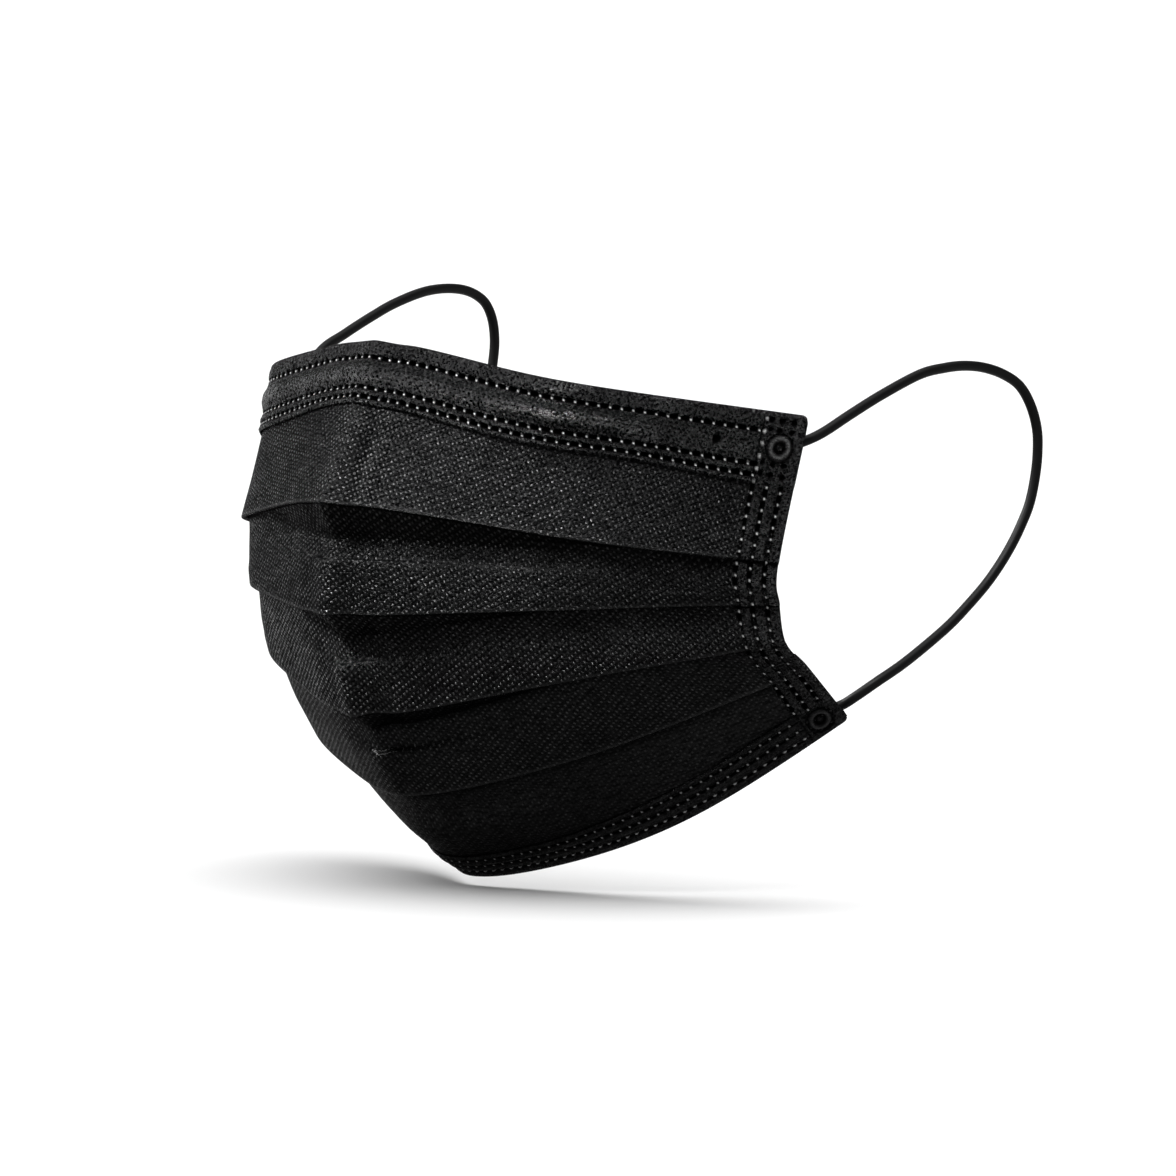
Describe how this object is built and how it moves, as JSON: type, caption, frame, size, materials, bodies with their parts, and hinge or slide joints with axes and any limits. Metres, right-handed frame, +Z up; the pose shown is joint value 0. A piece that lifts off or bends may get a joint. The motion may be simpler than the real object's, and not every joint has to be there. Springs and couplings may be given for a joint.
{
  "type": "disposable face mask",
  "caption": "Black pleated nonwoven face mask in its worn shape, with welded hems and side bands, a nose wire and round elastic ear loops.",
  "frame": {"origin": "inside of the top fold on the ridge over the nose, where the mask sits on the bridge of the nose", "axes": "+X to the wearer's left, +Y back into the face, +Z up"},
  "size_m": [0.1482, 0.1239, 0.111],
  "materials": {
    "cloth": "matte embossed nonwoven",
    "strip": "matte fine-grained nonwoven",
    "wire": "satin",
    "elastic": "matte knitted elastic"
  },
  "bodies": {
    "root": {"mask_body": "cloth", "top_hem": "strip", "nose_wire": "wire", "bottom_hem": "strip", "side_band_left": "strip", "side_band_right": "strip", "ear_loop_left": "elastic", "ear_loop_right": "elastic"}
  },
  "joints": []
}
